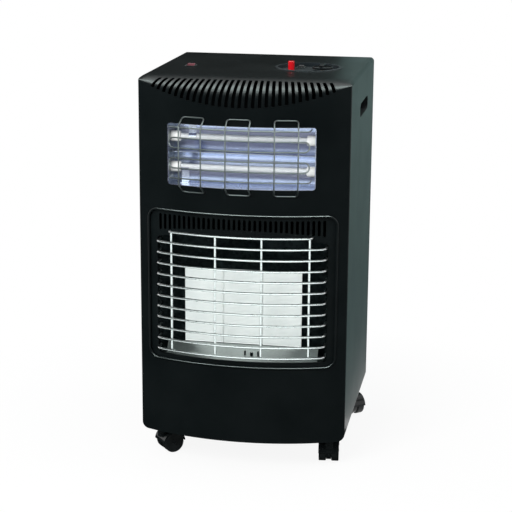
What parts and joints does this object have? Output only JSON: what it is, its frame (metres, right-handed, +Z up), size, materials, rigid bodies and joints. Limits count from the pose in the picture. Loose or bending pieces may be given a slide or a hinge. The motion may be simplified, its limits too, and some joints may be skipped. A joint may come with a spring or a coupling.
{
  "type": "portable gas cabinet heater",
  "caption": "Bow-fronted cabinet heater on casters: gas radiant burner below, quartz electric tubes above, each behind a wire guard, bottle space behind a lift-off rear cover.",
  "frame": {"origin": "on the floor under the middle of the heater's bounding box", "axes": "+X to the right seen from the front, +Y to the rear, +Z up; the bowed front faces -Y"},
  "size_m": [0.4208, 0.4716, 0.782],
  "materials": {
    "cabinet_enamel": "satin baked enamel, near black with a green-grey cast",
    "surround_enamel": "satin high-temperature black",
    "galvanised_steel": "zinc-coated sheet, dull",
    "zinc_steel": "bright zinc plating",
    "burner_steel": "aluminised steel, dull",
    "burner_ceramic": "matt white pierced tile",
    "white_ceramic": "unglazed white",
    "brass": "machined",
    "aluminium_tube": "drawn tube",
    "valve_aluminium": "die cast",
    "chrome_wire": "bright plated wire",
    "polished_reflector": "mirror polished sheet",
    "quartz": "milky quartz",
    "heating_wire": "oxidised resistance wire",
    "black_plastic": "fine matt grain",
    "pod_plastic": "fine matt grain with a polished rim",
    "gloss_black_plastic": "moulded gloss",
    "knob_plastic": "moulded satin",
    "red_plastic": "moulded gloss red",
    "wheel_plastic": "hard moulded wheel"
  },
  "bodies": {
    "cabinet": {"front_panel": "cabinet_enamel", "top_panel": "cabinet_enamel", "right_side_panel": "cabinet_enamel", "left_side_panel": "cabinet_enamel", "rear_rail": "cabinet_enamel", "base_tray": "galvanised_steel", "heat_shield": "galvanised_steel", "casing_screws": "zinc_steel", "caster_plates": "zinc_steel", "right_grip_cup": "black_plastic", "left_grip_cup": "black_plastic", "cord_gland": "black_plastic", "selector_housing": "black_plastic", "power_switch_housing": "black_plastic", "radiant_surround": "surround_enamel", "burner_pan": "burner_steel", "burner_plenum": "burner_steel", "venturi_tube": "burner_steel", "plaque_left": "burner_ceramic", "plaque_centre": "burner_ceramic", "plaque_right": "burner_ceramic", "injector": "brass", "hose_tail": "brass", "gas_pipe": "aluminium_tube", "pilot_bracket": "burner_steel", "pilot_burner": "burner_steel", "thermocouple": "zinc_steel", "spark_electrode": "zinc_steel", "radiant_guard": "chrome_wire", "electric_guard": "chrome_wire", "electric_reflector": "polished_reflector", "reflector_end_plates": "galvanised_steel", "upper_quartz_tube": "quartz", "lower_quartz_tube": "quartz", "heating_coils": "heating_wire", "tube_end_caps": "white_ceramic", "tube_clips": "zinc_steel", "control_pod": "pod_plastic", "piezo_igniter": "black_plastic", "gas_valve": "valve_aluminium", "terminal_block": "white_ceramic"},
    "rear_cover": {"rear_cover": "cabinet_enamel", "cover_screws": "zinc_steel"},
    "valve_spindle": {"valve_spindle": "brass"},
    "gas_knob": {"gas_knob": "knob_plastic"},
    "ignition_button": {"ignition_button": "red_plastic"},
    "selector_rocker": {"selector_rocker": "gloss_black_plastic"},
    "power_rocker": {"power_rocker": "red_plastic"},
    "front_left_caster": {"front_left_caster_hood": "gloss_black_plastic"},
    "front_left_left_wheel": {"front_left_caster_left_wheel": "wheel_plastic"},
    "front_left_right_wheel": {"front_left_caster_right_wheel": "wheel_plastic"},
    "front_right_caster": {"front_right_caster_hood": "gloss_black_plastic"},
    "front_right_left_wheel": {"front_right_caster_left_wheel": "wheel_plastic"},
    "front_right_right_wheel": {"front_right_caster_right_wheel": "wheel_plastic"},
    "rear_left_caster": {"rear_left_caster_hood": "gloss_black_plastic"},
    "rear_left_left_wheel": {"rear_left_caster_left_wheel": "wheel_plastic"},
    "rear_left_right_wheel": {"rear_left_caster_right_wheel": "wheel_plastic"},
    "rear_right_caster": {"rear_right_caster_hood": "gloss_black_plastic"},
    "rear_right_left_wheel": {"rear_right_caster_left_wheel": "wheel_plastic"},
    "rear_right_right_wheel": {"rear_right_caster_right_wheel": "wheel_plastic"}
  },
  "joints": [
    {"name": "rear_cover_lift_off", "type": "slide", "parent": "cabinet", "child": "rear_cover", "axis": [0, 1, 0], "range_m": [0, 0.06]},
    {"name": "valve_push", "type": "slide", "parent": "cabinet", "child": "valve_spindle", "axis": [0, 0, -1], "range_m": [0, 0.004], "stiffness_N_per_m": 1500, "springref_m": -0.002},
    {"name": "gas_knob_turn", "type": "hinge", "parent": "valve_spindle", "child": "gas_knob", "pos_m": [0.122, 0.03077, 0.7725], "axis": [0, 0, 1], "range_deg": [0, 180]},
    {"name": "ignition_push", "type": "slide", "parent": "cabinet", "child": "ignition_button", "axis": [0, 0, -1], "range_m": [0, 0.006], "stiffness_N_per_m": 1500, "springref_m": -0.002},
    {"name": "selector_tip", "type": "hinge", "parent": "cabinet", "child": "selector_rocker", "pos_m": [0.073, 0.06877, 0.7626], "axis": [1, 0, 0], "range_deg": [-16, 0]},
    {"name": "power_tip", "type": "hinge", "parent": "cabinet", "child": "power_rocker", "pos_m": [-0.14, 0.00277, 0.7686], "axis": [1, 0, 0], "range_deg": [-16, 0]},
    {"name": "front_left_swivel", "type": "hinge", "parent": "cabinet", "child": "front_left_caster", "pos_m": [-0.171, -0.14023, 0.0572], "axis": [0, 0, 1], "continuous": true},
    {"name": "front_left_left_wheel_roll", "type": "hinge", "parent": "front_left_caster", "child": "front_left_left_wheel", "pos_m": [-0.15721, -0.12866, 0.021], "axis": [0.6428, -0.766, 0], "continuous": true},
    {"name": "front_left_right_wheel_roll", "type": "hinge", "parent": "front_left_caster", "child": "front_left_right_wheel", "pos_m": [-0.15721, -0.12866, 0.021], "axis": [0.6428, -0.766, 0], "continuous": true},
    {"name": "front_right_swivel", "type": "hinge", "parent": "cabinet", "child": "front_right_caster", "pos_m": [0.171, -0.14023, 0.0572], "axis": [0, 0, 1], "continuous": true},
    {"name": "front_right_left_wheel_roll", "type": "hinge", "parent": "front_right_caster", "child": "front_right_left_wheel", "pos_m": [0.16912, -0.12233, 0.021], "axis": [0.9945, 0.1045, 0], "continuous": true},
    {"name": "front_right_right_wheel_roll", "type": "hinge", "parent": "front_right_caster", "child": "front_right_right_wheel", "pos_m": [0.16912, -0.12233, 0.021], "axis": [0.9945, 0.1045, 0], "continuous": true},
    {"name": "rear_left_swivel", "type": "hinge", "parent": "cabinet", "child": "rear_left_caster", "pos_m": [-0.171, 0.16277, 0.0572], "axis": [0, 0, 1], "continuous": true},
    {"name": "rear_left_left_wheel_roll", "type": "hinge", "parent": "rear_left_caster", "child": "rear_left_left_wheel", "pos_m": [-0.17832, 0.17922, 0.021], "axis": [0.9135, 0.4067, 0], "continuous": true},
    {"name": "rear_left_right_wheel_roll", "type": "hinge", "parent": "rear_left_caster", "child": "rear_left_right_wheel", "pos_m": [-0.17832, 0.17922, 0.021], "axis": [0.9135, 0.4067, 0], "continuous": true},
    {"name": "rear_right_swivel", "type": "hinge", "parent": "cabinet", "child": "rear_right_caster", "pos_m": [0.171, 0.16277, 0.0572], "axis": [0, 0, 1], "continuous": true},
    {"name": "rear_right_left_wheel_roll", "type": "hinge", "parent": "rear_right_caster", "child": "rear_right_left_wheel", "pos_m": [0.18257, 0.14899, 0.021], "axis": [-0.766, -0.6428, 0], "continuous": true},
    {"name": "rear_right_right_wheel_roll", "type": "hinge", "parent": "rear_right_caster", "child": "rear_right_right_wheel", "pos_m": [0.18257, 0.14899, 0.021], "axis": [-0.766, -0.6428, 0], "continuous": true}
  ]
}
